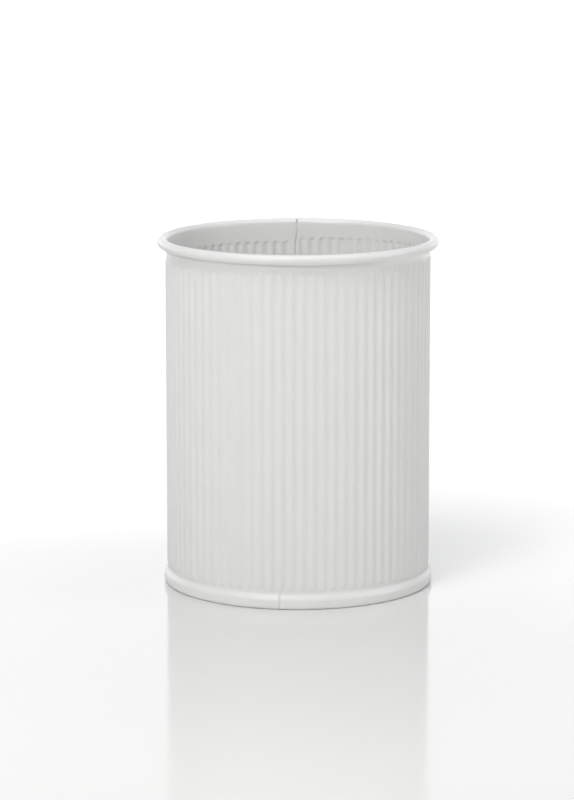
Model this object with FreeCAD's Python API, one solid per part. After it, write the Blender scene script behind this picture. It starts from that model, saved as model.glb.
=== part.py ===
"""Umbrella stand: a fluted sheet-steel drum with a rolled rim, a raised base pan and a crimped base hoop.

Millimetres, +Z up. The origin is on the floor in the middle of the base, the front faces -Y and the side seam
is at the back, near +Y. Every piece is thin sheet turned round Z, so each one is drawn as a section in the
X-Z plane and revolved. Places round the wall are measured from the back (+Y), and count up towards +X.
"""
import FreeCAD
import Part

import math
import os

# Overall sizes
HEIGHT = 330.0  # floor to the top of the rim
FLUTED_DIAMETER = 250.0  # over the crests of the flutes

# Sheets, and the air left between sheets that are pressed together
SHELL_SHEET = 0.6
PAN_SHEET = 0.6
HOOP_SHEET = 0.6
NESTING_GAP = 0.15

# Flutes: ribs pressed outwards, with round ends
FLUTE_COUNT = 79
FLUTE_HEIGHT = 1.05
FLUTE_WIDTH = 7.2  # at the foot
FLUTE_TOP_BAND = 18.2  # plain wall from the rim's top down to the highest flute's end
FLUTE_FOOT_CLEARANCE = 0.8  # plain wall from the hoop up to the lowest flute's end
FLUTE_SKEW = 3.0  # the blank is rolled this far out of square, so the flutes' ends step at the seam

# Side seam, where the blank's two ends lap
SEAM_LAND = 8.6  # plain strip between the last flute and the first
SEAM_LAND_CENTRE = -3.75  # round the wall from the back
LAP_EDGE = -1.4  # edge of the inner layer, round the wall from the back
LAP_WIDTH = 6.2
LAP_CREVICE_WIDTH = 0.7  # beside the inner layer's edge, where the outer layer steps over it
LAP_RIM_GAP = 1.2  # the outer layer's corner is cut away this far under the rolled rim
RIM_NOTCH_WIDTH = 1.2  # between the two ends of the rolled rim

# Rolled rim: a hollow curl
CURL_DIAMETER = 9.2
CURL_TURN = 320.0  # degrees of roll, from the wall over the top and back under

# Base hoop: a channel crimped round the foot of the shell and the flange of the pan
HOOP_STAND_OUT = 3.55  # hoop's outer face, beyond the shell's plain wall
HOOP_HEIGHT = 14.6
HOOP_SHOULDER_DROP = 5.1  # hoop's top down to the corner of its band
HOOP_NECK_HEIGHT = 1.0  # the straight collar at the top
HOOP_SHOULDER_RADIUS = 5.0
HOOP_NECK_RADIUS = 2.0
HOOP_FOOT_RADIUS = 3.0
HOOP_LIP_RADIUS = 1.6
HOOP_LIP_HEIGHT = 5.0  # inner lip, above the floor
HOOP_LIP_GAP = 0.3  # between the inner lip and the pan's skirt
HOOP_JOINT_WIDTH = 0.5  # between the hoop's butted ends
HOOP_JOINT_ANGLE = 187.8  # degrees round from the back

# Base pan: a raised floor, a skirt and a flange turned out under the shell
PAN_FLOOR_HEIGHT = 12.0  # clear space under the floor
PAN_CORNER_RADIUS = 2.6
PAN_FLANGE_RADIUS = 0.9
PAN_FLANGE_GAP = 0.3  # between the flange's edge and the hoop
PAN_WALL_GAP = 0.2  # between the skirt and the shell
PAN_BEAD_INSET = 31.0  # pressed stiffening ring: the skirt to the middle of the ring
PAN_BEAD_WIDTH = 12.0
PAN_BEAD_HEIGHT = 1.6
PAN_BEAD_RADIUS = 3.0

# Sealing fillet between the shell and the pan
SEAL_RISE = 2.4  # up the shell
SEAL_SPREAD = 4.4  # in from the shell
SEAL_EDGE = 0.25  # thickness where it feathers out
SEAL_REACH = 65.0  # degrees of the pan's corner that it wets

# Radii and heights that follow
crest_radius = FLUTED_DIAMETER / 2
wall_outer = crest_radius - FLUTE_HEIGHT
wall_inner = wall_outer - SHELL_SHEET
curl_radius = CURL_DIAMETER / 2
curl_centre_height = HEIGHT - curl_radius
flange_top = HOOP_SHEET + NESTING_GAP + PAN_SHEET
shell_foot = flange_top + NESTING_GAP
pan_top = PAN_FLOOR_HEIGHT + PAN_SHEET
pan_skirt = wall_inner - PAN_WALL_GAP
hoop_lip = pan_skirt - PAN_SHEET - HOOP_LIP_GAP - HOOP_SHEET
hoop_neck = wall_outer + NESTING_GAP + HOOP_SHEET
hoop_outer = wall_outer + HOOP_STAND_OUT
hoop_bend = HOOP_FOOT_RADIUS - HOOP_SHEET
bend_reach = math.sqrt(hoop_bend ** 2 - (hoop_bend - NESTING_GAP) ** 2)
flange_edge = hoop_outer - HOOP_FOOT_RADIUS + bend_reach - PAN_FLANGE_GAP

AXIS = FreeCAD.Vector(0, 0, 1)
ORIGIN = FreeCAD.Vector(0, 0, 0)


def section_point(radius, height):
    """A point of a section, in the X-Z plane."""
    return FreeCAD.Vector(radius, 0, height)


def polar_point(centre, radius, degrees):
    """The point of a section at this angle round a centre, from +X towards +Z."""
    turn = math.radians(degrees)
    return centre + section_point(radius * math.cos(turn), radius * math.sin(turn))


def rounded_path(corners):
    """Edges that join (radius, height, fillet) corners by straight runs, each corner rounded by its fillet."""
    points = [section_point(radius, height) for radius, height, fillet in corners]
    fillets = [fillet for radius, height, fillet in corners]
    edges = []
    start = points[0]
    for before, corner, after, fillet in zip(points, points[1:], points[2:], fillets[1:]):
        back = (before - corner).normalize()
        ahead = (after - corner).normalize()
        half_angle = back.getAngle(ahead) / 2
        reach = fillet / math.tan(half_angle)
        inset = fillet / math.sin(half_angle) - fillet
        crown = corner + (back + ahead).normalize() * inset
        edges.append(Part.LineSegment(start, corner + back * reach).toShape())
        edges.append(Part.Arc(corner + back * reach, crown, corner + ahead * reach).toShape())
        start = corner + ahead * reach
    edges.append(Part.LineSegment(start, points[-1]).toShape())
    return edges


def turned(section):
    """The solid that a flat section makes when it is revolved round Z."""
    return section.revolve(ORIGIN, AXIS, 360)


def turned_sheet(edges, thickness):
    """Sheet with one face on the edges; it lies to their right, or to their left if thickness is negative."""
    return turned(Part.Wire(edges).makeOffset2D(-thickness, 0, True, True))


def round_from_back(shape, degrees):
    """A copy of a shape drawn on +X, moved round Z to this many degrees from the back, towards +X."""
    moved = shape.copy()
    moved.rotate(ORIGIN, AXIS, 90 - degrees)
    return moved


def degrees_along(length, radius):
    """The angle that a length takes up round a circle."""
    return math.degrees(length / radius)


def wall_block(start, width, radius_from, radius_to, height_from, height_to):
    """A curved block between two radii, from start and on by width, both measured round the wall."""
    block = Part.makeCylinder(radius_to, height_to - height_from, section_point(0, height_from), AXIS,
                              degrees_along(width, wall_outer))
    block = block.cut(Part.makeCylinder(radius_from, height_to - height_from, section_point(0, height_from)))
    return round_from_back(block, degrees_along(start + width, wall_outer))


def rounded_bar(radius, centre_radius, foot, top):
    """An upright bar on +X with hemispherical ends, whose end centres are at foot and top."""
    bar = Part.makeCylinder(radius, top - foot, section_point(centre_radius, foot))
    ends = [Part.makeSphere(radius, section_point(centre_radius, height)) for height in (foot, top)]
    return bar.fuse(ends).removeSplitter()


def plain_shell():
    """The wall and the rolled rim. The wall's inner face becomes the outer face of the curl."""
    centre = section_point(wall_inner + curl_radius, curl_centre_height)
    wall_top = polar_point(centre, curl_radius, 180)
    curl_middle = polar_point(centre, curl_radius, 180 - CURL_TURN / 2)
    curl_end = polar_point(centre, curl_radius, 180 - CURL_TURN)
    wall = Part.LineSegment(section_point(wall_inner, shell_foot), wall_top).toShape()
    curl = Part.Arc(wall_top, curl_middle, curl_end).toShape()
    return turned_sheet([wall, curl], SHELL_SHEET)


def flute_angles():
    """Degrees round from the back of each flute's middle, evenly spaced outside the seam's plain strip."""
    edge_to_middle = SEAM_LAND / 2 + FLUTE_WIDTH / 2
    first = degrees_along(SEAM_LAND_CENTRE + edge_to_middle, wall_outer)
    last = 360 + degrees_along(SEAM_LAND_CENTRE - edge_to_middle, wall_outer)
    return [first + (last - first) * index / (FLUTE_COUNT - 1) for index in range(FLUTE_COUNT)]


def shell():
    """The drum: sheet with flutes pressed out of it, lapped at the back, its top edge rolled outwards."""
    bulge = (FLUTE_WIDTH ** 2 / 4 + FLUTE_HEIGHT ** 2) / (2 * FLUTE_HEIGHT)
    centre = crest_radius - bulge
    top = HEIGHT - FLUTE_TOP_BAND - FLUTE_WIDTH / 2
    foot = HOOP_HEIGHT + FLUTE_FOOT_CLEARANCE + FLUTE_SKEW + FLUTE_WIDTH / 2
    hollow = rounded_bar(bulge - SHELL_SHEET, centre, foot, top)
    rib = rounded_bar(bulge, centre, foot, top).cut(Part.makeCylinder(wall_outer - SHELL_SHEET / 2, HEIGHT))
    ribs = []
    hollows = []
    for index, angle in enumerate(flute_angles()):
        drop = section_point(0, -FLUTE_SKEW * index / (FLUTE_COUNT - 1))
        ribs.append(round_from_back(rib, angle).translated(drop))
        hollows.append(round_from_back(hollow, angle).translated(drop))
    drum = plain_shell().fuse(ribs).cut(hollows)
    lap_foot = HOOP_HEIGHT + FLUTE_FOOT_CLEARANCE
    lap_top = curl_centre_height - curl_radius - LAP_RIM_GAP
    lap_bed = wall_outer - SHELL_SHEET / 4
    lap = wall_block(LAP_EDGE - LAP_WIDTH, LAP_WIDTH + 2 * LAP_CREVICE_WIDTH,
                     lap_bed, wall_outer + SHELL_SHEET, lap_foot, lap_top)
    crevice = wall_block(LAP_EDGE, LAP_CREVICE_WIDTH, wall_inner - SHELL_SHEET, lap_bed, lap_foot, lap_top)
    notch = wall_block(LAP_EDGE, RIM_NOTCH_WIDTH, wall_outer + SHELL_SHEET, crest_radius + CURL_DIAMETER,
                       curl_centre_height - curl_radius, HEIGHT)
    return drum.fuse(lap).cut([crevice, notch])


def base_pan():
    """A raised floor with a pressed ring in it, a skirt down the shell's inside and a flange under its edge."""
    bead_middle = pan_skirt - PAN_BEAD_INSET
    bead_foot = PAN_BEAD_WIDTH / 2
    bead_crest = bead_foot - PAN_BEAD_HEIGHT
    path = rounded_path([
        (0, pan_top, 0),
        (bead_middle - bead_foot, pan_top, PAN_BEAD_RADIUS),
        (bead_middle - bead_crest, pan_top + PAN_BEAD_HEIGHT, PAN_BEAD_RADIUS),
        (bead_middle + bead_crest, pan_top + PAN_BEAD_HEIGHT, PAN_BEAD_RADIUS),
        (bead_middle + bead_foot, pan_top, PAN_BEAD_RADIUS),
        (pan_skirt, pan_top, PAN_CORNER_RADIUS),
        (pan_skirt, flange_top, PAN_FLANGE_RADIUS),
        (flange_edge, flange_top, 0),
    ])
    return turned_sheet(path, PAN_SHEET)


def base_hoop():
    """The rolled channel that the stand rests on, closed in at its neck and butted end to end at the front."""
    path = rounded_path([
        (hoop_lip, HOOP_LIP_HEIGHT, 0),
        (hoop_lip, 0, HOOP_LIP_RADIUS),
        (hoop_outer, 0, HOOP_FOOT_RADIUS),
        (hoop_outer, HOOP_HEIGHT - HOOP_SHOULDER_DROP, HOOP_SHOULDER_RADIUS),
        (hoop_neck, HOOP_HEIGHT - HOOP_NECK_HEIGHT, HOOP_NECK_RADIUS),
        (hoop_neck, HOOP_HEIGHT, 0),
    ])
    joint = Part.makeBox(hoop_outer, HOOP_JOINT_WIDTH, 2 * HOOP_HEIGHT,
                         FreeCAD.Vector(hoop_outer / 2, -HOOP_JOINT_WIDTH / 2, -HOOP_HEIGHT / 2))
    return turned_sheet(path, -HOOP_SHEET).cut(round_from_back(joint, HOOP_JOINT_ANGLE))


def base_seal():
    """A fillet of sealing compound in the groove between the shell and the pan's rounded corner."""
    face = wall_inner - NESTING_GAP / 2
    floor = pan_top + NESTING_GAP / 2
    corner = section_point(pan_skirt - PAN_CORNER_RADIUS, pan_top - PAN_CORNER_RADIUS)
    bed_radius = PAN_CORNER_RADIUS + NESTING_GAP / 2
    bed_start = polar_point(corner, bed_radius, 90)
    bed_middle = polar_point(corner, bed_radius, 90 - SEAL_REACH / 2)
    bed_end = polar_point(corner, bed_radius, 90 - SEAL_REACH)
    feather = section_point(wall_inner - SEAL_SPREAD, floor)
    feather_top = section_point(wall_inner - SEAL_SPREAD, floor + SEAL_EDGE)
    wall_top = section_point(face, floor + SEAL_RISE)
    hollow = (feather_top + wall_top) * 0.5 + section_point(SEAL_EDGE, -SEAL_EDGE)
    outline = [
        Part.LineSegment(feather, feather_top).toShape(),
        Part.Arc(feather_top, hollow, wall_top).toShape(),
        Part.LineSegment(wall_top, section_point(face, bed_end.z)).toShape(),
        Part.LineSegment(section_point(face, bed_end.z), bed_end).toShape(),
        Part.Arc(bed_end, bed_middle, bed_start).toShape(),
        Part.LineSegment(bed_start, feather).toShape(),
    ]
    return turned(Part.Face(Part.Wire(outline)))


os.makedirs("parts", exist_ok=True)
for piece in (shell, base_pan, base_hoop, base_seal):
    solid = piece()
    solid.exportStep(f"parts/{piece.__name__}.step")
    print(piece.__name__, len(solid.Solids), "solid", round(solid.Volume, 1), "mm3", solid.isValid())
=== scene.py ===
import math

import bpy
import numpy as np
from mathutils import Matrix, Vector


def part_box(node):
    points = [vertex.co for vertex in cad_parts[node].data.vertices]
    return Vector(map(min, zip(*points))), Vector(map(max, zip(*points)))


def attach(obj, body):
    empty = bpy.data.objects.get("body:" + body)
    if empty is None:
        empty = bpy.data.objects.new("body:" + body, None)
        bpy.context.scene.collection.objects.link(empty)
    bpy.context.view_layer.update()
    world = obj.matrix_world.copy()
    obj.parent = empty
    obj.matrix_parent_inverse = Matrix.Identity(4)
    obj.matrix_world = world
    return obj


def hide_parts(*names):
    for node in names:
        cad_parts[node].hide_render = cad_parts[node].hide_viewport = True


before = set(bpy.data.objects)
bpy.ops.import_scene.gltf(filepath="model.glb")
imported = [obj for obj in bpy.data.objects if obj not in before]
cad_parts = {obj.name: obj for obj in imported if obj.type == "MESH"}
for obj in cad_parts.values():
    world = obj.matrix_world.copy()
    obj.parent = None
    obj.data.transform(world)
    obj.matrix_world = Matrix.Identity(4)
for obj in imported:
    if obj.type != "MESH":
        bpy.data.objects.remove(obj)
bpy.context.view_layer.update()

# ---------------------------------------------------------------------------------------------------------
# Camera. It stands three metres in front of the umbrella stand, a little above it, and looks down at it
# with a long lens, so the drum's sides stay nearly parallel. The stand is a little right of the middle.
# ---------------------------------------------------------------------------------------------------------
mm = 0.001
camera_data = bpy.data.cameras.new("camera")
camera_data.lens = 149.2
camera_data.sensor_width = 36.0
camera_data.shift_x = -0.01375
camera = bpy.data.objects.new("camera", camera_data)
camera.location = (0.0, -3.091, 0.756)
camera.rotation_euler = (math.radians(90.0 - 10.68), 0.0, 0.0)
bpy.context.scene.collection.objects.link(camera)
bpy.context.scene.camera = camera


# ---------------------------------------------------------------------------------------------------------
# Table. A very wide sheet of pale acrylic, polished on top, so that it shows a soft mirror image of the
# stand and of the bright studio wall behind it. Its top glows with painted light, dimmer near the stand as
# painted shade.
# ---------------------------------------------------------------------------------------------------------
def linear_from_hex(colour):
    """An sRGB hex colour such as "#f2f2f0" as linear red, green and blue, with alpha 1."""
    values = [int(colour[start:start + 2], 16) / 255 for start in (1, 3, 5)]
    linear = [value / 12.92 if value <= 0.04045 else ((value + 0.055) / 1.055) ** 2.4 for value in values]
    return (*linear, 1.0)


def new_material(name):
    """A material with a Principled shader, and that shader node."""
    material = bpy.data.materials.new(name)
    material.use_nodes = True
    return material, material.node_tree.nodes["Principled BSDF"]


def add_node(tree, kind, inputs, **settings):
    """A node with these settings; each input is a value or the socket that feeds it."""
    node = tree.nodes.new(kind)
    for setting, value in settings.items():
        setattr(node, setting, value)
    for socket, value in inputs.items():
        if isinstance(value, bpy.types.NodeSocket):
            tree.links.new(value, node.inputs[socket])
        else:
            node.inputs[socket].default_value = value
    return node


def table_surface(radius):
    """A flat disc at height 0: rings at radius * share^2, 64 points to a ring, round one middle point."""
    share = np.linspace(0.0, 1.0, 13)[1:, None] ** 2
    turn = np.linspace(0.0, 2 * math.pi, 65)[:-1]
    out = radius * share
    rings = np.stack([out * np.cos(turn), out * np.sin(turn), 0 * out * turn], axis=-1)
    index = 1 + np.arange(rings.shape[0] * rings.shape[1]).reshape(rings.shape[:2])
    ahead = np.roll(index, -1, axis=1)
    faces = np.stack([index[:-1], index[1:], ahead[1:], ahead[:-1]], axis=-1).reshape(-1, 4).tolist()
    faces += [[0, a, b] for a, b in zip(index[0].tolist(), ahead[0].tolist())]
    mesh = bpy.data.meshes.new("photo_table")
    mesh.from_pydata([[0.0, 0.0, 0.0], *rings.reshape(-1, 3).tolist()], [], faces)
    return bpy.data.objects.new("photo_table", mesh)


def painted_glow_acrylic(name, near_glow, far_glow):
    """Polished pale acrylic with a painted glow that grows from 0.15 m to 0.75 m away from the middle of the
    table: painted shade near the stand.
    """
    material, shader = new_material(name)
    tree = material.node_tree
    place = add_node(tree, "ShaderNodeTexCoord", {}).outputs["Object"]
    away = add_node(tree, "ShaderNodeVectorMath", {0: place}, operation="LENGTH").outputs["Value"]
    glow = add_node(tree, "ShaderNodeMapRange", {"Value": away, "From Min": 0.15, "From Max": 0.75,
                                                 "To Min": near_glow, "To Max": far_glow},
                    interpolation_type="SMOOTHSTEP")
    # Painted light: the emission is a glow, kept low near the stand as painted shade round it.
    tree.links.new(glow.outputs["Result"], shader.inputs["Emission Strength"])
    shader.inputs["Emission Color"].default_value = linear_from_hex("#fffefb")
    shader.inputs["Base Color"].default_value = linear_from_hex("#e4e4e3")
    shader.inputs["Roughness"].default_value = 0.10
    shader.inputs["IOR"].default_value = 1.5
    return material


table = table_surface(radius=16.0)
table.data.materials.append(painted_glow_acrylic("pale_acrylic_painted_glow", near_glow=0.01, far_glow=0.14))
bpy.context.scene.collection.objects.link(table)


# ---------------------------------------------------------------------------------------------------------
# Studio light. A wide overhead soft box, two at the front left that flatten the flutes there and let them
# stand out on the right, one at the right, and a low band of wall all round that is white behind the stand.
# ---------------------------------------------------------------------------------------------------------
def soft_box(name, azimuth, elevation, distance, size, power):
    """A square area light aimed at the middle of the drum; azimuth 0 is straight in front, + towards +X."""
    light = bpy.data.lights.new(name, "AREA")
    light.shape = "SQUARE"
    light.size = size
    light.energy = power
    lamp = bpy.data.objects.new(name, light)
    turn, rise = math.radians(azimuth), math.radians(elevation)
    place = np.array([math.sin(turn) * math.cos(rise), -math.cos(turn) * math.cos(rise), math.sin(rise)])
    lamp.location = place * distance + [0.0, 0.0, 0.165]
    lamp.rotation_euler = (math.pi / 2 - rise, 0.0, turn)
    bpy.context.scene.collection.objects.link(lamp)


soft_box("overhead_soft_box", azimuth=0.0, elevation=88.0, distance=4.5, size=4.5, power=94.0)
soft_box("high_front_soft_box", azimuth=-28.0, elevation=58.0, distance=4.5, size=2.0, power=63.0)
soft_box("front_soft_box", azimuth=-30.0, elevation=26.0, distance=4.5, size=1.2, power=60.0)
soft_box("right_soft_box", azimuth=80.0, elevation=14.0, distance=4.5, size=2.2, power=54.0)


def studio_walls(upper, front, back):
    """A world with a low band of walls all round, which is brightest behind the stand.

    Strength = upper + low * level. Low fades from 1 at Z 0.15 to 0 at Z 0.45 of the direction looked in, and
    level goes from front to back as its Y goes from 0.25 to 0.75.
    """
    world = bpy.data.worlds.new("studio_walls")
    world.use_nodes = True
    tree = world.node_tree
    looked_in = add_node(tree, "ShaderNodeTexCoord", {}).outputs["Generated"]
    parts = add_node(tree, "ShaderNodeSeparateXYZ", {"Vector": looked_in})
    faded = []
    for axis, start, end, low, high in (("Y", 0.25, 0.75, front, back), ("Z", 0.45, 0.15, 0.0, 1.0)):
        fade = add_node(tree, "ShaderNodeMapRange", {"Value": parts.outputs[axis], "From Min": start,
                                                     "From Max": end, "To Min": low, "To Max": high},
                        interpolation_type="SMOOTHSTEP")
        faded.append(fade.outputs["Result"])
    strength = add_node(tree, "ShaderNodeMath", {0: faded[0], 1: faded[1], 2: upper},
                        operation="MULTIPLY_ADD")
    tree.links.new(strength.outputs["Value"], tree.nodes["Background"].inputs["Strength"])
    tree.nodes["Background"].inputs["Color"].default_value = linear_from_hex("#fbfcfd")
    return world


bpy.context.scene.world = studio_walls(upper=0.0, front=0.12, back=2.1)
bpy.context.scene.view_settings.view_transform = "Standard"


# ---------------------------------------------------------------------------------------------------------
# Shell. One rectangle of 0.6 mm sheet steel with 79 ribs pressed out of it, rolled into a drum. Its two ends
# lap at the back, and its top edge is rolled outwards into a hollow bead. Powder-coated white, satin.
# ---------------------------------------------------------------------------------------------------------
def powder_coat(name, colour, peel_size, peel_depth, film_size):
    """White polyester powder coat, sprayed dry and baked: satin, with a faint orange peel 2 mm across.

    The peel is coarser than on steel, where it is under 1 mm, so that it shows. A second, wider pattern
    makes the film a little thicker and glossier in some places than in others.
    """
    material, shader = new_material(name)
    tree = material.node_tree
    place = add_node(tree, "ShaderNodeTexCoord", {}).outputs["Object"]
    peel = add_node(tree, "ShaderNodeTexNoise", {"Vector": place, "Scale": 1 / peel_size, "Detail": 2.0,
                                                 "Roughness": 0.45})
    film = add_node(tree, "ShaderNodeTexNoise", {"Vector": place, "Scale": 1 / film_size, "Detail": 3.0,
                                                 "Roughness": 0.5})
    bump = add_node(tree, "ShaderNodeBump", {"Height": peel.outputs["Fac"], "Strength": 1.0,
                                             "Distance": peel_depth})
    gloss = add_node(tree, "ShaderNodeMapRange", {"Value": film.outputs["Fac"], "From Min": 0.3,
                                                  "From Max": 0.7, "To Min": 0.34, "To Max": 0.42})
    thick = linear_from_hex(colour)
    thin = (*(0.965 * value for value in thick[:3]), 1.0)
    tint = add_node(tree, "ShaderNodeMix", {"Factor": film.outputs["Fac"], 6: thin, 7: thick},
                    data_type="RGBA")
    tree.links.new(tint.outputs[2], shader.inputs["Base Color"])
    tree.links.new(gloss.outputs["Result"], shader.inputs["Roughness"])
    tree.links.new(bump.outputs["Normal"], shader.inputs["Normal"])
    shader.inputs["IOR"].default_value = 1.5
    return material


tip_turn = np.radians([30.0, 60.0, 90.0, 120.0, 150.0])


def close_sheet(face, back):
    """Rows round a sheet's edge-on section: the face, a half-round end, the back reversed, a half-round end.

    face and back are (rows, columns, 2) arrays of radius and height. The back lies to the face's right.
    A half-round point is middle + half cos(turn) + ahead sin(turn), with half from the middle to the face
    and one point for each tip_turn.
    """
    turn = tip_turn[:, None, None]
    half = (face - back) / 2
    ahead = np.stack([half[..., 1], -half[..., 0]], axis=-1)
    middle = (face + back) / 2
    far_end = middle[-1] + half[-1] * np.cos(turn) + ahead[-1] * np.sin(turn)
    near_end = middle[0] - half[0] * np.cos(turn) - ahead[0] * np.sin(turn)
    return np.concatenate([face, far_end, back[::-1], near_end])


def new_piece(name, points, faces, material, cut_ends=()):
    """A smooth mesh object at the origin, with flat faces at its cut ends, that rides on the only body."""
    mesh = bpy.data.meshes.new(name)
    mesh.from_pydata(points.tolist(), [], [*faces, *cut_ends])
    mesh.polygons.foreach_set("use_smooth", np.arange(len(mesh.polygons)) < len(faces))
    mesh.materials.append(material)
    piece = bpy.data.objects.new(name, mesh)
    bpy.context.scene.collection.objects.link(piece)
    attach(piece, "root")
    return piece


def round_the_drum(section, angle):
    """Points (rows, columns, 3) of a section carried round: x = radius sin(angle), y = radius cos(angle).

    Angle 0 is the back of the stand, and it grows towards +X.
    """
    radius, height = section[..., 0], section[..., 1]
    return np.stack([radius * np.sin(angle), radius * np.cos(angle), height + 0 * angle], axis=-1)


def ring_faces(index, closed):
    """Quads of a (rows, columns) grid of vertex numbers whose rows close on themselves."""
    above = np.roll(index, -1, axis=0)
    ahead, above_ahead = np.roll(index, -1, axis=1), np.roll(above, -1, axis=1)
    quads = np.stack([index, ahead, above_ahead, above], axis=-1)
    return quads[:, :None if closed else -1].reshape(-1, 4).tolist()


def end_faces(index, face_rows):
    """Faces that close both ends of an open ring of sheet: a ladder from face to back, and its two tips."""
    faces = []
    tip = len(index) // 2 - face_rows
    for column, step in ((index[:, 0], 1), (index[:, -1], -1)):
        face, back = column[:face_rows], column[face_rows + tip:2 * face_rows + tip][::-1]
        ladder = np.stack([face[:-1], face[1:], back[1:], back[:-1]], axis=1)
        far_tip = [face[-1], *column[face_rows:face_rows + tip], back[-1]]
        near_tip = [back[0], *column[2 * face_rows + tip:], face[0]]
        faces += [side[::step] for side in [*ladder.tolist(), far_tip, near_tip]]
    return faces


def smooth_step(start, end, value):
    """0 up to start, 1 from end on, and 3t^2 - 2t^3 between them."""
    share = np.clip((value - start) / (end - start), 0.0, 1.0)
    return share * share * (3.0 - 2.0 * share)


def waviness(angle, height):
    """How far the rolled wall stands out from a true cylinder: sines round the drum times sines up it.

    They have 3, 7 and 19 waves round the drum, and fade to nothing at the curl and at the hoop.
    """
    level = height / rim_top
    waves = (0.10 * np.sin(3 * angle + 0.7) * np.sin(2.3 * level + 0.4)
             + 0.06 * np.sin(7 * angle + 2.1) * np.sin(5.1 * level + 1.3)
             + 0.03 * np.sin(19 * angle + 0.3) * np.sin(9.7 * level)) * mm
    return waves * np.sin(math.pi * np.clip((height - hoop_top) / (curl_start - hoop_top), 0.0, 1.0))


# Lengths along the wall run round from the back, and the curl's turns are degrees from where it leaves the
# wall. The lap's edges draw in by the two draws where the flutes lie, as the pressing pulls the sheet.
sheet = 0.6 * mm
curl_radius = 4.6 * mm
curl_turn = 320.0
flute_count = 79
flute_height = 1.05 * mm
flute_half_width = 3.6 * mm
flute_skew = 3.0 * mm
flute_rise = 4.5 * mm
flute_top_band = 18.2 * mm
flute_foot_gap = 0.8 * mm
first_flute = 4.15 * mm
last_flute = -11.65 * mm
lap_edge = -1.4 * mm
lap_width = 6.2 * mm
inner_edge_draw = 1.6 * mm
lap_step = 0.66 * mm
outer_edge_draw = 0.6 * mm
rim_joint = 0.05 * mm
notch_width = 0.8 * mm
notch_turn = 36.0

shell_low, shell_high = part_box("shell")
hoop_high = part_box("base_hoop")[1]
rim_top = shell_high.z
shell_foot = shell_low.z
hoop_top = hoop_high.z
wall_inside = shell_high.x - 2 * curl_radius
wall_outside = wall_inside + sheet

flute_turn = np.linspace(first_flute / wall_outside, 2 * math.pi + last_flute / wall_outside, flute_count)
across = np.array([-1.02, -0.88, -0.68, -0.4, -0.13, 0.13, 0.4, 0.68, 0.88, 1.02])
on_flutes = (flute_turn[:, None] + across * flute_half_width / wall_outside).ravel()
in_valleys = (flute_turn[1:] + flute_turn[:-1]) / 2
middle_angle = np.sort(np.concatenate([on_flutes, in_valleys]))
land_columns = 6
share = np.linspace(0.0, 1.0, land_columns + 1)

# The flutes' ends drop by flute_skew once round, and their top ends rise by up to flute_rise on the right.
drop = flute_skew * np.clip(middle_angle / (2 * math.pi), 0.0, 1.0)
drop = np.concatenate([np.zeros(land_columns), drop, np.full(land_columns, flute_skew)])
rise = flute_rise * np.sin(np.clip(0.75 * middle_angle, 0.0, math.pi))
rise = np.pad(rise, land_columns)
top_end = rim_top - flute_top_band - flute_half_width - drop + rise
foot_end = hoop_top + flute_foot_gap + flute_skew + flute_half_width - drop
end_rows = np.array([0.0, 0.25, 0.55, 0.8, 0.97, 1.12])[:, None] * flute_half_width
flute_rows = foot_end + np.linspace(0.0, 1.0, 12)[1:-1, None] * (top_end - foot_end)
curl_start = rim_top - curl_radius
band_rows = (top_end + end_rows[-1]) + np.array([0.35, 0.7])[:, None] * (curl_start - top_end - end_rows[-1])
columns = len(drop)
wall_height = np.concatenate([np.full((1, columns), shell_foot), np.full((1, columns), hoop_top),
                              foot_end - end_rows[::-1], flute_rows, top_end + end_rows, band_rows])
wall_rows = len(wall_height)

past_end = np.maximum(wall_height - top_end, 0.0) + np.maximum(foot_end - wall_height, 0.0)
drawn_in = 1.0 - smooth_step(flute_half_width * 0.6, flute_half_width * 1.5, past_end)
under_rim = smooth_step(curl_start - 7.5 * mm, curl_start - 5.0 * mm, wall_height)
in_hoop = 1.0 - smooth_step(hoop_top, hoop_top + 1.5 * mm, wall_height)
outer_edge = lap_edge - lap_width + outer_edge_draw * drawn_in
outer_edge += (lap_edge + rim_joint - outer_edge) * np.maximum(under_rim, in_hoop)
inner_edge = lap_edge - inner_edge_draw * drawn_in
curl_rows = 21
curl_steps = np.linspace(0.0, curl_turn, curl_rows)[:, None]
rim_gap = rim_joint + notch_width * np.exp(-((curl_steps - notch_turn) / 13.0) ** 2)
outer_edge = np.concatenate([outer_edge[:, :1], lap_edge + rim_gap]) / wall_outside
inner_edge = np.concatenate([inner_edge[:, -1:], np.full((curl_rows, 1), lap_edge)]) / wall_outside
first_column, last_column = middle_angle[0], middle_angle[-1]
angle = np.concatenate([outer_edge + (first_column - outer_edge) * share[:-1],
                        np.broadcast_to(middle_angle, (wall_rows + curl_rows, len(middle_angle))),
                        last_column + (2 * math.pi + inner_edge - last_column) * share[1:]], axis=1)

dice = np.random.default_rng(11)
flute_depth = flute_height * dice.normal(1.0, 0.04, flute_count)
wall_angle = angle[:wall_rows]
flute_pitch = flute_turn[1] - flute_turn[0]
nearest = np.clip(np.rint((wall_angle - flute_turn[0]) / flute_pitch), 0, flute_count - 1).astype(int)
from_crest = (wall_angle - flute_turn[nearest]) * wall_outside / flute_half_width
crown = np.clip(1.0 - from_crest ** 2 - (past_end / flute_half_width) ** 2, 0.0, 1.0)
lapped = 1.0 - smooth_step(lap_edge, lap_edge + 2.2 * mm, wall_angle * wall_outside)
lapped = lapped * (1.0 - np.maximum(under_rim, in_hoop))
bulge = flute_depth[nearest] * crown ** 1.25 + lap_step * lapped + waviness(wall_angle, wall_height)

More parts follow.
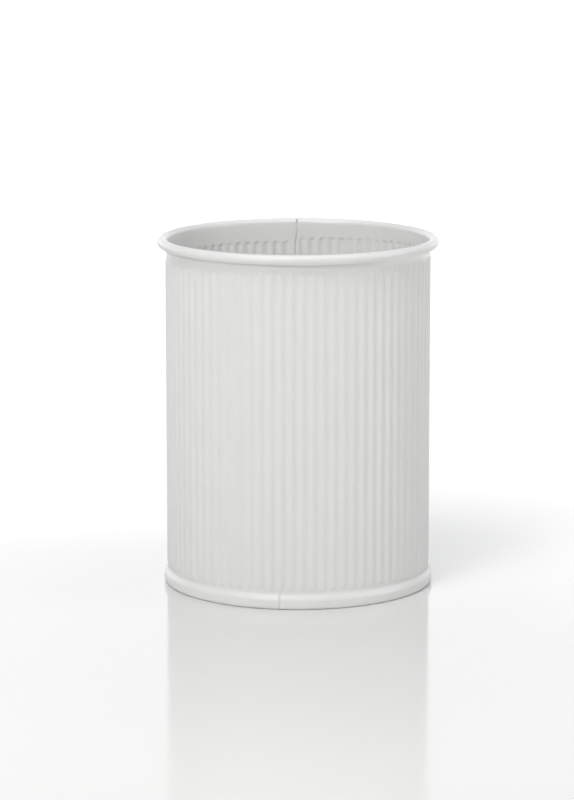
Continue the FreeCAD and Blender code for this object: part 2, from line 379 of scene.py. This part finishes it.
curl_centre = wall_inside + curl_radius
roll = np.radians(180.0 - curl_steps) + np.zeros((1, columns))
curl_face = np.stack([curl_centre + curl_radius * np.cos(roll),
                      curl_start + curl_radius * np.sin(roll)], axis=-1)
inner_roll = curl_radius - sheet
curl_back = np.stack([curl_centre + inner_roll * np.cos(roll),
                      curl_start + inner_roll * np.sin(roll)], axis=-1)
wall_face = np.stack([wall_inside + bulge, wall_height], axis=-1)
wall_back = np.stack([wall_outside + bulge, wall_height], axis=-1)
section = close_sheet(np.concatenate([wall_face, curl_face]), np.concatenate([wall_back, curl_back]))
curl_tip, foot_tip = angle[[-1] * len(tip_turn)], angle[[0] * len(tip_turn)]
section_angle = np.concatenate([angle, curl_tip, angle[::-1], foot_tip])
shell_index = np.arange(section.shape[0] * section.shape[1]).reshape(section.shape[:2])
satin_white = powder_coat("satin_white_powder_coat", "#f4f4f3", peel_size=2.0 * mm, peel_depth=0.012 * mm,
                          film_size=38.0 * mm)
shell = new_piece("shell_sheet", round_the_drum(section, section_angle).reshape(-1, 3),
                  ring_faces(shell_index, closed=False), satin_white,
                  cut_ends=end_faces(shell_index, wall_rows + curl_rows))
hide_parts("shell")


# ---------------------------------------------------------------------------------------------------------
# Lap welds. A row of small spot welds down the lap holds the rolled sheet shut. Each electrode left a dimple
# with a raised ring, inside and out, and the powder coat has softened them.
# ---------------------------------------------------------------------------------------------------------
def disc_faces(rings, sides, first=0):
    """Faces of a closed disc: quads between its rings, and fans to the two poles numbered after them."""
    index = first + np.arange(rings * sides).reshape(rings, sides)
    ahead = np.roll(index, -1, axis=1)
    quads = np.stack([index[:-1], ahead[:-1], ahead[1:], index[1:]], axis=-1).reshape(-1, 4).tolist()
    fans = [[first + index.size, b, a] for a, b in zip(index[0].tolist(), ahead[0].tolist())]
    fans += [[first + index.size + 1, a, b] for a, b in zip(index[-1].tolist(), ahead[-1].tolist())]
    return quads + fans


def weld_mark(arc, height, face_radius, facing):
    """A dished disc on the wall: across = share radius, proud of the face by a rise that peaks at its ring.

    facing is 1 on the outside of the wall and -1 on the inside. The last ring and pole are in the steel.
    """
    share = np.array([0.0, 0.3, 0.55, 0.72, 0.86, 1.0, 0.9, 0.0])[:, None]
    rise = np.array([0.01, 0.02, 0.06, 0.11, 0.08, -0.02, -0.15, -0.15])[:, None] * mm
    turn = facing * np.linspace(0.0, 2 * math.pi, weld_sides + 1)[:-1]
    angle = (arc + share * weld_radius * np.cos(turn)) / wall_outside
    up = height + share * weld_radius * np.sin(turn)
    radius = face_radius + waviness(angle, up) + facing * rise
    points = round_the_drum(np.stack([radius, up], axis=-1), angle)
    return np.concatenate([points[1:-1].reshape(-1, 3), points[[0, -1], 0]])


weld_radius = 1.6 * mm
weld_sides = 24
weld_arc = -5.0 * mm
weld_heights = np.linspace(hoop_top + 14.0 * mm, curl_start - 14.0 * mm, 9)
weld_faces = ((wall_outside + lap_step, 1), (wall_inside, -1))
marks = [weld_mark(weld_arc, height, *side) for height in weld_heights for side in weld_faces]
weld_rings = len(marks[0]) // weld_sides
mark_faces = [face for number in range(len(marks))
              for face in disc_faces(weld_rings, weld_sides, number * len(marks[0]))]
new_piece("lap_weld_marks", np.concatenate(marks), mark_faces, satin_white)


# ---------------------------------------------------------------------------------------------------------
# Coat beads. Powder that gathered and ran together in the oven where two edges nearly meet: one bridges the
# crevice under the curl at the front right, and two sit beside the small notch in the curl at the back.
# ---------------------------------------------------------------------------------------------------------
def coat_bead(arc, radius, height, half_sizes):
    """An egg-shaped bead: its half sizes run round the drum, outwards and upwards."""
    tilt = np.radians(np.linspace(90.0, -90.0, bead_rings + 2))[:, None]
    turn = np.linspace(0.0, 2 * math.pi, bead_sides + 1)[:-1]
    angle = (arc + half_sizes[0] * np.cos(tilt) * np.cos(turn)) / wall_outside
    out = radius - half_sizes[1] * np.cos(tilt) * np.sin(turn)
    up = height + half_sizes[2] * np.sin(tilt) + 0 * turn
    points = round_the_drum(np.stack([out, up], axis=-1), angle)
    return np.concatenate([points[1:-1].reshape(-1, 3), points[[0, -1], 0]])


bead_rings = 9
bead_sides = 16
bridge_arc = math.radians(164.1) * wall_outside
bridge_size = 1.0 * mm, 2.0 * mm, 1.0 * mm
notch_bead_size = 0.6 * mm, 0.35 * mm, 0.6 * mm
beads = [coat_bead(bridge_arc, wall_outside + 1.4 * mm, rim_top - 9.6 * mm, bridge_size)]
for past_joint, beyond_wall, below_top in ((0.75 * mm, 0.15 * mm, 3.6 * mm), (1.0 * mm, 1.2 * mm, 1.5 * mm)):
    place = lap_edge + rim_joint + past_joint, wall_inside + beyond_wall, rim_top - below_top
    beads.append(coat_bead(*place, notch_bead_size))
bead_faces = [face for number in range(len(beads))
              for face in disc_faces(bead_rings, bead_sides, number * len(beads[0]))]
new_piece("coat_beads", np.concatenate(beads), bead_faces, satin_white)


# ---------------------------------------------------------------------------------------------------------
# Base hoop. A channel of the same sheet that the stand rests on: turned up inside, rounded at the floor,
# crimped in to the wall above, and butted end to end just left of the front.
# ---------------------------------------------------------------------------------------------------------
def along_path(corners, step_degrees=10.0):
    """Points along straight runs joined by tangent arcs, from (radius, height, fillet) corners."""
    corners = np.array(corners, float)
    points = [corners[:1, :2]]
    for before, here, after in zip(corners, corners[1:], corners[2:]):
        back = (before - here)[:2] / np.linalg.norm((before - here)[:2])
        ahead = (after - here)[:2] / np.linalg.norm((after - here)[:2])
        half = math.acos(np.clip(back @ ahead, -1.0, 1.0)) / 2
        middle = (back + ahead) / np.linalg.norm(back + ahead)
        side = (ahead - back) / np.linalg.norm(ahead - back)
        centre = here[:2] + middle * here[2] / math.sin(half)
        sweep = math.pi / 2 - half
        turn = np.linspace(-sweep, sweep, max(4, int(math.degrees(2 * sweep) / step_degrees) + 1))[:, None]
        points.append(centre + here[2] * (side * np.sin(turn) - middle * np.cos(turn)))
    points.append(corners[-1:, :2])
    return np.concatenate(points)


def beside(path, distance):
    """The path moved sideways to its right by distance, at right angles to it at each point."""
    ahead = np.gradient(path, axis=0)
    ahead /= np.linalg.norm(ahead, axis=1)[:, None]
    return path + distance * np.stack([ahead[:, 1], -ahead[:, 0]], axis=1)


hoop_sheet = 0.6 * mm
hoop_outside = hoop_high.x
hoop_neck = wall_outside + 0.15 * mm + hoop_sheet
pan_low, pan_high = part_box("base_pan")
skirt_outside = wall_inside - 0.2 * mm
hoop_lip = skirt_outside - 0.6 * mm - 0.3 * mm - hoop_sheet
hoop_path = along_path([
    (hoop_neck, hoop_top, 0),
    (hoop_neck, hoop_top - 1.0 * mm, 2.0 * mm),
    (hoop_outside, hoop_top - 5.1 * mm, 5.0 * mm),
    (hoop_outside, 0, 3.0 * mm),
    (hoop_lip, 0, 1.6 * mm),
    (hoop_lip, 5.0 * mm, 0),
])
hoop_joint = math.radians(187.8)
end_sprung = 0.12 * mm
sprung_length = 38.0 * mm
joint_gap = 0.04 * mm / hoop_outside
hoop_turn = np.linspace(0.0, 1.0, 481) * (2 * math.pi - joint_gap)
hoop_angle = hoop_joint + joint_gap / 2 + hoop_turn
sprung = 1.0 - smooth_step(0.0, sprung_length / hoop_outside, hoop_turn)
hoop_face = hoop_path[:, None] + np.zeros((1, len(hoop_angle), 1))
hoop_back = beside(hoop_path, hoop_sheet)[:, None] + np.zeros((1, len(hoop_angle), 1))
hoop_section = close_sheet(hoop_face, hoop_back)
hoop_section[..., 0] += end_sprung * sprung
hoop_index = np.arange(hoop_section.shape[0] * hoop_section.shape[1]).reshape(hoop_section.shape[:2])
hoop = new_piece("base_hoop_channel", round_the_drum(hoop_section, hoop_angle).reshape(-1, 3),
                 ring_faces(hoop_index, closed=False), satin_white,
                 cut_ends=end_faces(hoop_index, len(hoop_path)))
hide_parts("base_hoop")


# ---------------------------------------------------------------------------------------------------------
# Base pan. A pressed disc that makes the raised floor: a stiffening ring in it, a skirt down inside the
# shell, and a flange turned out under the shell's edge, where the hoop holds it.
# ---------------------------------------------------------------------------------------------------------
def turned_disc(outline, angle):
    """Points and faces of a solid disc from an outline that starts and ends on the axis."""
    ring = round_the_drum(outline[1:-1, None] + np.zeros((1, len(angle), 1)), angle)
    poles = np.array([[0.0, 0.0, outline[0, 1]], [0.0, 0.0, outline[-1, 1]]])
    return np.concatenate([ring.reshape(-1, 3), poles]), disc_faces(*ring.shape[:2])


pan_sheet = 0.6 * mm
pan_floor = pan_high.z - 1.6 * mm
flange_top = pan_low.z + pan_sheet
bead_middle = skirt_outside - 31.0 * mm
pan_path = along_path([
    (0, pan_floor, 0),
    (bead_middle - 6.0 * mm, pan_floor, 3.0 * mm),
    (bead_middle - 4.4 * mm, pan_high.z, 3.0 * mm),
    (bead_middle + 4.4 * mm, pan_high.z, 3.0 * mm),
    (bead_middle + 6.0 * mm, pan_floor, 3.0 * mm),
    (skirt_outside, pan_floor, 2.6 * mm),
    (skirt_outside, flange_top, 0.9 * mm),
    (pan_high.x, flange_top, 0),
])
pan_back = beside(pan_path, pan_sheet)
pan_outline = close_sheet(pan_path[:, None], pan_back[:, None])[:-len(tip_turn), 0]
pan_angle = np.linspace(0.0, 2 * math.pi, 241)[:-1]
pan_points, pan_faces = turned_disc(pan_outline, pan_angle)
pan = new_piece("base_pan_pressing", pan_points, pan_faces, satin_white)
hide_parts("base_pan")


# ---------------------------------------------------------------------------------------------------------
# Base seal. A fillet of pale sealing compound in the groove between shell and pan, run in by a nozzle and
# cured, so its edge wanders a little. It makes the stand hold the water that umbrellas shed.
# ---------------------------------------------------------------------------------------------------------
def sealing_compound(name):
    """Cured plastisol: a soft, matt, slightly creamy rubber with slow ripples left by the nozzle."""
    material, shader = new_material(name)
    tree = material.node_tree
    place = add_node(tree, "ShaderNodeTexCoord", {}).outputs["Object"]
    ripple = add_node(tree, "ShaderNodeTexNoise", {"Vector": place, "Scale": 1 / (6.0 * mm), "Detail": 2.0})
    bump = add_node(tree, "ShaderNodeBump", {"Height": ripple.outputs["Fac"], "Distance": 0.25 * mm})
    tree.links.new(bump.outputs["Normal"], shader.inputs["Normal"])
    shader.inputs["Base Color"].default_value = linear_from_hex("#dcdad2")
    shader.inputs["Roughness"].default_value = 0.62
    shader.inputs["IOR"].default_value = 1.48
    return material


seal_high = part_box("base_seal")[1]
seal_angle = np.linspace(0.0, 2 * math.pi, 361)[:-1]
wander = 0.25 * np.sin(5 * seal_angle) + 0.18 * np.sin(13 * seal_angle + 1.0) + 0.1 * np.sin(41 * seal_angle)
seal_spread = 4.4 * mm + wander * mm
seal_rise = seal_high.z - pan_floor + 0.6 * wander * mm
bed_turn = np.radians(np.linspace(25.0, 90.0, 8))[:, None]
bed_radius = 2.6 * mm + 0.08 * mm
bed = np.stack([skirt_outside - 2.6 * mm + bed_radius * np.cos(bed_turn) + 0 * seal_angle,
                pan_floor - 2.6 * mm + bed_radius * np.sin(bed_turn) + 0 * seal_angle], axis=-1)
climb = np.linspace(0.0, 1.0, 9)[:, None]
slope = np.stack([wall_inside - 0.05 * mm - seal_spread * (1.0 - climb),
                  pan_floor + 0.3 * mm + (seal_rise - 0.3 * mm) * climb ** 1.8], axis=-1)
feather = np.stack([slope[:1, :, 0], np.full_like(slope[:1, :, 1], pan_floor + 0.08 * mm)], axis=-1)
wall_side = np.stack([slope[-1:, :, 0], bed[:1, :, 1]], axis=-1)
seal_section = np.concatenate([feather, slope, wall_side, bed])
seal_index = np.arange(seal_section.shape[0] * seal_section.shape[1]).reshape(seal_section.shape[:2])
seal = new_piece("base_seal_fillet", round_the_drum(seal_section, seal_angle).reshape(-1, 3),
                 ring_faces(seal_index, closed=True), sealing_compound("cured_plastisol"))
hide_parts("base_seal")
